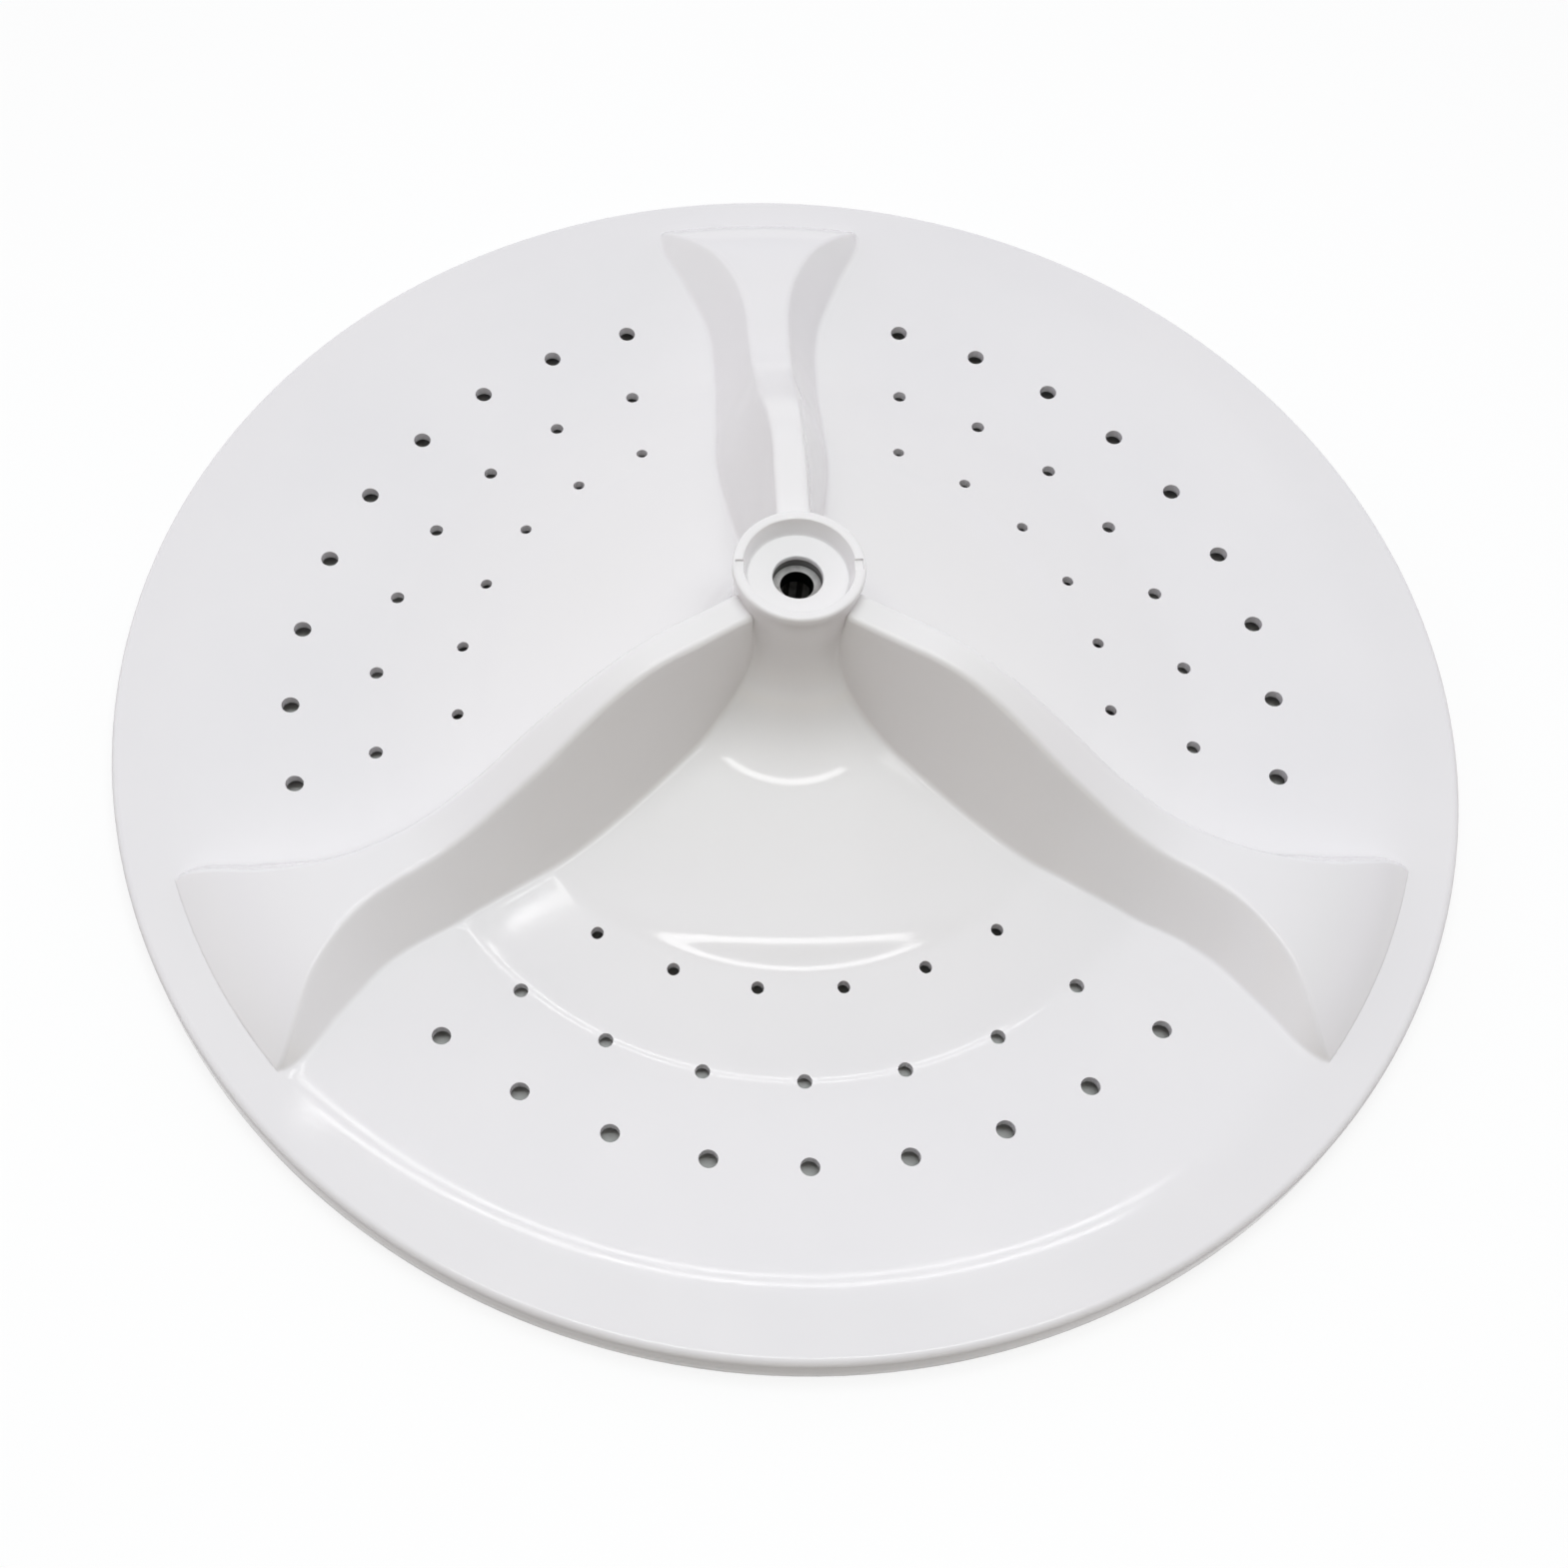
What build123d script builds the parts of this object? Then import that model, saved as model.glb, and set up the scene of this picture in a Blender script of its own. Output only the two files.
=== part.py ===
from build123d import *
import math
import os

# Washing machine pulsator: a moulded disc with three hollow vanes and a metal spline insert.
# Millimetres, +Z up. The origin is on the disc's axis, in the plane that the skirt rests on.
# One vane points along +Y and the other two stand 120 degrees to each side of it.

# Disc and its rim
disc_radius = 169.0
rim_height = 9.0
rim_edge_radius = 3.5
flange_width = 17.5
flange_rise = 1.2
plate_wall = 2.6
skirt_wall = 2.6

# Dished plate: a shallow valley, a straight cone up to the hub, and its soft flare
valley_radius = 104.0
valley_height = 5.5
step_radius = 77.7
step_height = 9.9
flare_radius = 34.0
flare_height = 21.0
flare_slope = 0.25

# Crescent step in the plate, one between each two vanes
crescent_width = 6.1
crescent_slope = 0.40
crescent_inner_slope = 0.20
crescent_offset = 21.6

# Hub with the cup that takes the cap
hub_radius = 15.0
hub_wall_bottom = 49.0
hub_top = 63.8
lip_radius = 15.6
lip_height = 2.6
cup_mouth_radius = 13.1
cup_floor_radius = 12.0
cup_depth = 5.2
notch_width = 3.4
notch_depth = 1.5
lip_edge = 0.5

# Vanes: half widths of the stations from the neck out to the tip. The neck is placed from the
# axis and the fan from the tip, and the four stations between them are evenly spaced.
vane_count = 3
vane_gap_to_rim = 11.5
neck_distance = 34.0
neck_foot = 9.8
neck_crest = 4.0
belly_foot = 12.9
belly_crest = 4.0
shoulder_foot = 14.9
shoulder_crest = 4.9
flank_foot = 14.5
flank_crest = 4.9
waist_foot = 14.3
waist_crest = 5.2
fan_start = 37.0
fan_start_foot = 15.9
fan_start_crest = 6.8
fan_middle = 21.0
fan_middle_foot = 22.4
fan_middle_crest = 13.4
fan_end = 7.0
fan_end_foot = 28.6
fan_end_crest = 24.4
fan_tip_foot = 32.5
fan_tip_crest = 29.5
vane_lean_limit = 0.7
vane_trim = 6.0
vane_wall = 2.6
vane_edge_radius = 2.0

# Height of the crest: level by the hub, a smooth fall to a low shelf, then a rounded nose
crest_height = 57.9
crest_level_radius = 34.0
shelf_radius = 108.0
shelf_height = 23.6
nose_roundness = 2.4

# Drain holes in each sector: ring radius, hole diameter, pitch angle and number
outer_ring_radius = 124.8
outer_hole = 4.5
outer_pitch = 10.5
outer_holes = 9
middle_ring_radius = 104.0
middle_hole = 3.5
middle_pitch = 13.0
middle_holes = 7
inner_ring_radius = 82.7
inner_hole = 3.0
inner_pitch = 14.0
inner_holes = 6

# Metal insert: knurled bush with a bolt hole above and a serrated socket below
insert_radius = 10.2
insert_cover = 1.4
insert_bottom = 20.0
insert_groove_width = 4.0
insert_groove_depth = 1.2
insert_flat_depth = 1.0
bolt_hole_radius = 3.9
bolt_seat_radius = 5.9
bolt_seat_depth = 3.6
bolt_hole_length = 4.0
socket_root_radius = 6.2
socket_tip_radius = 5.4
socket_teeth = 11
socket_chamfer = 0.8

# Underside: boss round the insert, radial ribs and a ring rib
boss_radius = 14.6
boss_bottom = 14.0
shaft_entry_clearance = 1.5
rib_thickness = 2.0
rib_clearance = 1.2
rib_angle = 17.0
rib_top = 30.0
ring_rib_radius = 93.4

# Heights and angles that follow from the values above
crease_radius = disc_radius - flange_width
crease_height = rim_height + flange_rise
vane_reach = disc_radius - vane_gap_to_rim
station_pitch = (vane_reach - fan_start - neck_distance) / 5.0
cup_floor_height = hub_top - cup_depth
insert_top = cup_floor_height - insert_cover
seat_height = cup_floor_height - bolt_seat_depth
socket_top = seat_height - bolt_hole_length
sector_angle = 360.0 / vane_count
shaft_entry_radius = socket_root_radius + socket_chamfer + shaft_entry_clearance
rib_start = boss_radius - 1.0


def turned(outline):
    """Turn a closed outline of radius and height about the disc's axis."""
    return revolve(Plane.XZ * make_face(outline), Axis.Z)


def dish(drop):
    """Everything under the plate's top face, lowered by a wall's thickness."""
    rim = disc_radius - (skirt_wall if drop else 0.0)
    edge = rim_edge_radius - (skirt_wall if drop else 0.0)
    top = rim_height - drop
    wall = hub_radius - drop
    flare_start = (flare_radius, flare_height - drop)
    flare_end = (wall, hub_wall_bottom)
    run = 0.6 * (flare_radius - wall)
    first_pull = (flare_radius - run, flare_start[1] + run * flare_slope)
    second_pull = (wall, flare_start[1] + 0.45 * (hub_wall_bottom - flare_start[1]))
    top_face = Polyline(
        (rim - edge, top),
        (crease_radius, crease_height - drop),
        (valley_radius, valley_height - drop),
        (step_radius, step_height - drop),
        flare_start,
    )
    outline = [
        Polyline((0, hub_wall_bottom), (0, 0), (rim, 0), (rim, top - edge)),
        CenterArc((rim - edge, top - edge), edge, 0, 90),
        top_face,
        Bezier(flare_start, first_pull, second_pull, flare_end),
        Line(flare_end, (0, hub_wall_bottom)),
    ]
    return turned(outline)


def crescent():
    """Low bump whose outer edges show as a crescent step, centred on the X axis."""
    crest_radius = step_radius - crescent_width
    crest = step_height + crescent_width * crescent_slope
    peak = step_height + step_radius * crescent_slope
    ramp = turned(Polyline((0, 0), (step_radius, 0), (step_radius, step_height), (0, peak), close=True))
    reach = crest_radius + crescent_offset
    lobe_peak = crest + (crest_radius - crescent_offset) * crescent_inner_slope
    lobe_rim = lobe_peak - reach * crescent_inner_slope
    lobe = turned(Polyline((0, 0), (reach, 0), (reach, lobe_rim), (0, lobe_peak), close=True))
    return ramp & (Pos(crescent_offset, 0, 0) * lobe)


def crest(drop):
    """Body of revolution that gives the height of the vanes' crests."""
    steps = 12
    length = vane_reach + 1.5 - crest_level_radius
    points = []
    for number in range(steps + 1):
        radius = crest_level_radius + length * number / steps
        points.append((radius, crest_height_at(radius) - drop))
    fall = Spline(*points, tangents=((1, 0), (0.8, -0.6)))
    tip, foot = points[-1]
    top = crest_height - drop
    sides = Polyline((tip, foot), (tip, 0), (0, 0), (0, top), (crest_level_radius, top))
    return turned([fall, sides])


def flange_height_at(radius):
    """Height of the flange's top face at a radius outside the crease."""
    share = (disc_radius - rim_edge_radius - radius) / (flange_width - rim_edge_radius)
    return rim_height + flange_rise * share


def plate_height_at(radius):
    """Rough height of the plate's top face, for the feet of the vanes."""
    if radius > crease_radius:
        return flange_height_at(radius)
    if radius > valley_radius:
        share = (radius - valley_radius) / (crease_radius - valley_radius)
        return valley_height + share * (crease_height - valley_height)
    if radius > step_radius:
        share = (valley_radius - radius) / (valley_radius - step_radius)
        return valley_height + share * (step_height - valley_height)
    share = (step_radius - radius) / (step_radius - flare_radius)
    return step_height + share * (flare_height - step_height)


def crest_height_at(radius):
    """Height of the vanes' crests at a radius."""
    if radius <= crest_level_radius:
        return crest_height
    if radius <= shelf_radius:
        turn = math.pi * (radius - crest_level_radius) / (shelf_radius - crest_level_radius)
        return shelf_height + (crest_height - shelf_height) * (1.0 + math.cos(turn)) / 2.0
    fall = shelf_height - flange_height_at(vane_reach)
    share = (radius - shelf_radius) / (vane_reach - shelf_radius)
    return shelf_height - fall * share ** nose_roundness


def vane_section(distance, foot, crest_half, drop):
    """One cross section of a vane, square to the X axis, with straight drafted sides."""
    low = plate_height_at(distance)
    high = crest_height_at(distance)
    lean = min((foot - crest_half) / (high - low + 0.01), vane_lean_limit)
    top = high - drop + vane_trim
    bottom = -1.0
    narrow = max(crest_half - (top - high) * lean - drop, 1.0)
    wide = foot + (low - bottom) * lean - drop
    outline = Polyline((distance, -wide, bottom), (distance, wide, bottom),
                       (distance, narrow, top), (distance, -narrow, top), close=True)
    return make_face(outline)


def vane(drop):
    """A vane along the X axis: lofted walls, trimmed by the height of the crest."""
    stations = [
        (hub_radius - 5.0, neck_foot, neck_crest),
        ((hub_radius - 5.0 + neck_distance) / 2.0, neck_foot, neck_crest),
        (neck_distance, neck_foot, neck_crest),
        (neck_distance + station_pitch, belly_foot, belly_crest),
        (neck_distance + 2.0 * station_pitch, shoulder_foot, shoulder_crest),
        (neck_distance + 3.0 * station_pitch, flank_foot, flank_crest),
        (neck_distance + 4.0 * station_pitch, waist_foot, waist_crest),
        (vane_reach - fan_start, fan_start_foot, fan_start_crest),
        (vane_reach - fan_middle, fan_middle_foot, fan_middle_crest),
        (vane_reach - fan_end, fan_end_foot, fan_end_crest),
        (vane_reach + 4.0, fan_tip_foot, fan_tip_crest),
    ]
    sections = [vane_section(*station, drop) for station in stations]
    return loft(sections) & crest(drop)


def rounded_vane():
    """The outer shape of a vane with both long edges of its crest rounded."""
    blade = vane(0.0)
    crest_face = blade.faces().filter_by(GeomType.REVOLUTION).sort_by(SortBy.AREA)[-1]
    edges = [edge for edge in crest_face.edges()
             if edge.length > 2.0 * station_pitch and abs(edge.center().Y) > 1.0]
    return fillet(edges, vane_edge_radius)


def around(shape, first=90.0):
    """Copies of a shape made along the X axis, one turned to each vane's direction."""
    return [Rot(0, 0, first + sector_angle * number) * shape for number in range(vane_count)]


def hub_column():
    """Straight upper part of the hub with its slightly wider lip."""
    column = Pos(0, 0, hub_wall_bottom) * Cylinder(
        hub_radius, hub_top - hub_wall_bottom, align=(Align.CENTER, Align.CENTER, Align.MIN))
    lip = Pos(0, 0, hub_top - lip_height) * Cylinder(
        lip_radius, lip_height, align=(Align.CENTER, Align.CENTER, Align.MIN))
    lip = chamfer(lip.edges().group_by(Axis.Z)[-1], lip_edge)
    return column + lip


def cup():
    """Drafted recess for the cap, with its two notches, and the opening over the bolt seat."""
    recess = turned(Polyline((0, cup_floor_height), (cup_floor_radius, cup_floor_height),
                             (cup_mouth_radius, hub_top), (cup_mouth_radius, hub_top + 1.0),
                             (0, hub_top + 1.0), close=True))
    notch = Pos(0, 0, hub_top) * Box(
        2.0 * (cup_mouth_radius + notch_depth), notch_width, 2.0 * cup_depth * 0.45)
    opening = Pos(0, 0, insert_top) * Cylinder(
        bolt_seat_radius, 2.0 * insert_cover + 1.0)
    return recess + notch + opening


def insert_outside():
    """Outside of the bush: a turned bar with two grooves and three flats."""
    groove_inner = insert_radius - insert_groove_depth
    length = insert_top - insert_bottom
    lower = insert_bottom + length / 3.0 - insert_groove_width / 2.0
    upper = insert_bottom + 2.0 * length / 3.0 - insert_groove_width / 2.0
    bar = turned(Polyline((0, insert_bottom), (insert_radius, insert_bottom),
                          (insert_radius, lower), (groove_inner, lower),
                          (groove_inner, lower + insert_groove_width),
                          (insert_radius, lower + insert_groove_width),
                          (insert_radius, upper), (groove_inner, upper),
                          (groove_inner, upper + insert_groove_width),
                          (insert_radius, upper + insert_groove_width),
                          (insert_radius, insert_top), (0, insert_top), close=True))
    flat = Pos(insert_radius - insert_flat_depth, 0, insert_bottom - 1.0) * Box(
        insert_radius, 3.0 * insert_radius, length + 2.0,
        align=(Align.MIN, Align.CENTER, Align.MIN))
    for copy in around(flat):
        bar -= copy
    return bar


def serrated_socket():
    """Serrated bore for the drive shaft, from the bush's lower end up to the bolt hole."""
    points = []
    for number in range(2 * socket_teeth):
        radius = socket_root_radius if number % 2 else socket_tip_radius
        angle = math.radians(90.0 + 180.0 * number / socket_teeth)
        points.append((radius * math.cos(angle), radius * math.sin(angle)))
    star = make_face(Polyline(*points, close=True))
    bore = extrude(Pos(0, 0, insert_bottom) * star, socket_top - insert_bottom)
    mouth_radius = socket_root_radius + socket_chamfer
    mouth = Pos(0, 0, insert_bottom) * Cone(
        mouth_radius, socket_tip_radius, mouth_radius - socket_tip_radius,
        align=(Align.CENTER, Align.CENTER, Align.MIN))
    return bore + mouth


def spline_insert():
    """Metal bush with its bolt seat, bolt hole and serrated socket."""
    bush = insert_outside()
    seat = Pos(0, 0, seat_height) * Cylinder(
        bolt_seat_radius, bolt_seat_depth + 1.0, align=(Align.CENTER, Align.CENTER, Align.MIN))
    hole = Pos(0, 0, socket_top - 1.0) * Cylinder(
        bolt_hole_radius, bolt_hole_length + 2.0, align=(Align.CENTER, Align.CENTER, Align.MIN))
    return bush - seat - hole - serrated_socket()


def ribs():
    """Ribs and boss of the underside in one sector, still reaching up through the plate."""
    tall = rib_top - rib_clearance
    shapes = []
    for angle in (-rib_angle, rib_angle):
        web = Pos(rib_start, 0, rib_clearance) * Box(
            disc_radius - skirt_wall / 2.0 - rib_start, rib_thickness, tall,
            align=(Align.MIN, Align.CENTER, Align.MIN))
        shapes.append(Rot(0, 0, angle) * web)
    ring_outline = Pos(ring_rib_radius, rib_clearance + tall / 2.0) * Rectangle(rib_thickness, tall)
    shapes.append(revolve(Plane.XZ * ring_outline, Axis.Z))
    boss = Pos(0, 0, boss_bottom) * Cylinder(
        boss_radius, hub_wall_bottom - boss_bottom + 6.0,
        align=(Align.CENTER, Align.CENTER, Align.MIN))
    shapes.append(boss)
    return shapes


def shaft_entry():
    """Bore in the boss through which the drive shaft reaches the insert from below."""
    return Pos(0, 0, boss_bottom - 1.0) * Cylinder(
        shaft_entry_radius, insert_bottom - boss_bottom + 1.0,
        align=(Align.CENTER, Align.CENTER, Align.MIN))


def drain_holes():
    """Drills for the three rings of holes of one sector, centred on the X axis."""
    rings = [
        (outer_ring_radius, outer_hole, outer_pitch, outer_holes),
        (middle_ring_radius, middle_hole, middle_pitch, middle_holes),
        (inner_ring_radius, inner_hole, inner_pitch, inner_holes),
    ]
    drills = []
    for radius, diameter, pitch, count in rings:
        drill = Pos(radius, 0, 0) * Cylinder(diameter / 2.0, 4.0 * rim_height)
        for number in range(count):
            angle = pitch * (number - (count - 1) / 2.0)
            drills.append(Rot(0, 0, angle) * drill)
    return drills


def sector_wedge():
    """Everything within half a sector to each side of the X axis."""
    half = math.radians(sector_angle / 2.0)
    far = 2.0 * disc_radius / math.cos(half)
    side = (far * math.cos(half), far * math.sin(half))
    corners = Polyline((0, 0), side, (side[0], -side[1]), close=True)
    return Pos(0, 0, -1.0) * extrude(make_face(corners), 2.0 * hub_top)


def sector():
    """A third of the disc between the middles of two vanes, centred on the X axis."""
    wedge = sector_wedge()
    outside = (dish(0.0) & wedge) + (crescent() & wedge)
    hollow = dish(plate_wall) & wedge
    outer_vane = rounded_vane()
    inner_vane = vane(vane_wall)
    for turn in (-sector_angle / 2.0, sector_angle / 2.0):
        outside += (Rot(0, 0, turn) * outer_vane) & wedge
        hollow += (Rot(0, 0, turn) * inner_vane) & wedge
    for shape in ribs():
        hollow -= shape
    return outside - hollow - drain_holes()


def pulsator_body():
    """The moulded disc: its three like sectors, the hub, and what is cut from the hub."""
    first, *others = around(sector(), first=90.0 + sector_angle / 2.0)
    body = first.fuse(*others)
    body += hub_column()
    body -= cup()
    body -= insert_outside()
    body -= shaft_entry()
    return body


def main():
    os.makedirs("parts", exist_ok=True)
    parts = {
        "pulsator_body": pulsator_body(),
        "spline_insert": spline_insert(),
    }
    for name, shape in parts.items():
        shape.label = name
        export_step(shape, f"parts/{name}.step")


if __name__ == "__main__":
    main()
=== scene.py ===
"""Studio scene of a washing machine pulsator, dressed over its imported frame.

The moulding is a closed shell whose top and underside are one grid laid over the
disc's form: rings from the hub out to the skirt and back, each ring running from a
vane's crest down its wall and across the plate. Lengths in the classes of the form and
of the pieces are in millimetres, in the frame's own axes, and are turned into metres when
a mesh is made. Those of the finishes and of the studio are in metres.
"""

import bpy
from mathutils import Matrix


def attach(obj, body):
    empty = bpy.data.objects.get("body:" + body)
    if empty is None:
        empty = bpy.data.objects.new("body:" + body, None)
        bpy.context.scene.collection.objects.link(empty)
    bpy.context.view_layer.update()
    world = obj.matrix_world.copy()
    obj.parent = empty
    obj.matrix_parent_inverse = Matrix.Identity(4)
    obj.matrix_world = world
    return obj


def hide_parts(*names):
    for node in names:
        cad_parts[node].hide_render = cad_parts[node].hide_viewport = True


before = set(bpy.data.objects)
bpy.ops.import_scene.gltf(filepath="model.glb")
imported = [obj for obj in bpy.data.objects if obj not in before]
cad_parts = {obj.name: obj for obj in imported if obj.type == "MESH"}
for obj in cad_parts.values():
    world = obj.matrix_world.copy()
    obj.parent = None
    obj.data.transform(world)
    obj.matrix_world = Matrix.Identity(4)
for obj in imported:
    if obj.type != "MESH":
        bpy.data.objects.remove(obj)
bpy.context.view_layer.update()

import logging
import math
from dataclasses import dataclass, field
from enum import Enum
from typing import Callable, Optional, Sequence, Union

import bpy
from mathutils import Matrix, Vector

MM = 0.001
WELD = 0.002 * MM
Piece = bpy.types.Object
Number = Union[int, float]
Value = Union["Wire", Number]
Point = tuple[float, float, float]
Pair = tuple[float, float]
Colour = tuple[float, float, float, float]

SECTOR_MIDDLES = (30.0, 150.0, 270.0)
VANE_ANGLES = (90.0, 210.0, 330.0)

log = logging.getLogger("pulsator")


class Face(Enum):
    """The two faces of the moulded wall, with how far each lies under the top."""

    TOP = 0.0
    UNDERSIDE = 2.6


# ---------------------------------------------------------------- operators


def deselect() -> None:
    """Leave nothing selected, as the loaded nodes come in selected."""
    if bpy.context.mode != "OBJECT":
        bpy.ops.object.mode_set(mode="OBJECT")
    bpy.ops.object.select_all(action="DESELECT")


def choose(*pieces: Piece) -> None:
    """Select these pieces only, and make the first one active.

    Args:
        pieces: The objects that the next operator works on.
    """
    deselect()
    for piece in pieces:
        piece.select_set(True)
    bpy.context.view_layer.objects.active = pieces[0]


def edit(piece: Piece, *steps: Callable[[], object]) -> None:
    """Run edit-mode operators, each on everything in a piece.

    Args:
        piece: The piece to open.
        steps: Calls made one after the other in edit mode.
    """
    choose(piece)
    bpy.ops.object.mode_set(mode="EDIT")
    bpy.ops.mesh.select_mode(type="VERT")
    for step in steps:
        bpy.ops.mesh.select_all(action="SELECT")
        step()
    bpy.ops.object.mode_set(mode="OBJECT")


def face_outwards() -> None:
    """Turn the selected faces outwards, in edit mode."""
    bpy.ops.mesh.normals_make_consistent(inside=False)


def lay(piece: Piece, points: Sequence[Point]) -> None:
    """Move a piece's points, given in millimetres in the order of its mesh.

    Args:
        piece: The piece whose points are moved.
        points: One place for each point of the mesh.
    """
    flat = [value * MM for point in points for value in point]
    piece.data.vertices.foreach_set("co", flat)
    piece.data.update()


def laid_grid(name: str, columns: int, points: Sequence[Point]) -> Piece:
    """Make a grid of faces through given points.

    Args:
        name: Name of the piece.
        columns: Number of faces in a row.
        points: The points in millimetres, row after row.

    Returns:
        The open grid.
    """
    deselect()
    bpy.ops.mesh.primitive_grid_add(x_subdivisions=columns,
                                    y_subdivisions=len(points) // (columns + 1) - 1)
    piece = bpy.context.active_object
    piece.name = name
    lay(piece, points)
    return piece


def turned_copy(piece: Piece, angle: float) -> Piece:
    """Copy a piece with its own mesh, turned about the disc's axis.

    Args:
        piece: The piece to copy.
        angle: Turn in degrees.

    Returns:
        The new piece, with its place in its mesh.
    """
    twin = piece.copy()
    twin.data = piece.data.copy()
    bpy.context.scene.collection.objects.link(twin)
    twin.data.transform(Matrix.Rotation(math.radians(angle), 4, "Z"))
    return twin


def joined(name: str, pieces: Sequence[Piece]) -> Piece:
    """Join pieces into one object and close its seams.

    Args:
        name: Name of the joined piece.
        pieces: The pieces; the first takes the others in.

    Returns:
        The joined piece.
    """
    choose(*pieces)
    bpy.ops.object.join()
    whole = bpy.context.view_layer.objects.active
    whole.name = name
    whole.data.name = name
    edit(whole, lambda: bpy.ops.mesh.remove_doubles(threshold=WELD))
    return whole


def add_mirror_image(piece: Piece, threshold: float) -> None:
    """Add a piece's mirror image across the upright plane through +X.

    Args:
        piece: The piece.
        threshold: Distance in metres under which a point is welded to its image.
    """
    choose(piece)
    modifier = piece.modifiers.new("mirror", "MIRROR")
    modifier.use_axis = (False, True, False)
    modifier.merge_threshold = threshold
    bpy.ops.object.modifier_apply(modifier=modifier.name)


def cut(piece: Piece, tool: Piece, solver: str) -> None:
    """Cut one closed piece with another, which is used up.

    Args:
        piece: The piece that is cut.
        tool: The piece that cuts.
        solver: Name of the Boolean modifier's method.
    """
    choose(piece)
    modifier = piece.modifiers.new("cut", "BOOLEAN")
    modifier.operation = "DIFFERENCE"
    modifier.object = tool
    modifier.solver = solver
    bpy.ops.object.modifier_apply(modifier=modifier.name)
    bpy.data.objects.remove(tool)


# ---------------------------------------------------------------- form


def soft_max(first: float, second: float, reach: float) -> float:
    """Larger of two heights, with their meeting line rounded.

    Args:
        first: One height.
        second: The other height.
        reach: Difference of height under which the two are blended.

    Returns:
        The blended height.
    """
    share = max(reach - abs(first - second), 0.0) / reach
    return max(first, second) + share * share * reach / 4.0


def soft_min(first: float, second: float, reach: float) -> float:
    """Smaller of two heights, with their meeting line rounded.

    Args:
        first: One height.
        second: The other height.
        reach: Difference of height under which the two are blended.

    Returns:
        The blended height.
    """
    return -soft_max(-first, -second, reach)


@dataclass
class Course:
    """A value that changes smoothly along the vane, through given stations."""

    places: Sequence[float]
    values: Sequence[float]

    def __post_init__(self) -> None:
        """Work out the slope at each station."""
        count = len(self.places)
        self.slopes = []
        for here in range(count):
            before = max(here - 1, 0)
            after = min(here + 1, count - 1)
            rise = self.values[after] - self.values[before]
            self.slopes.append(rise / (self.places[after] - self.places[before]))

    def at(self, place: float) -> float:
        """Value at a place.

        Args:
            place: Distance along the vane.

        Returns:
            The value there.
        """
        place = min(max(place, self.places[0]), self.places[-1])
        here = 0
        while here < len(self.places) - 2 and place > self.places[here + 1]:
            here += 1
        length = self.places[here + 1] - self.places[here]
        t = (place - self.places[here]) / length
        return ((2 * t ** 3 - 3 * t ** 2 + 1) * self.values[here]
                + (t ** 3 - 2 * t ** 2 + t) * length * self.slopes[here]
                + (3 * t ** 2 - 2 * t ** 3) * self.values[here + 1]
                + (t ** 3 - t ** 2) * length * self.slopes[here + 1])


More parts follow.
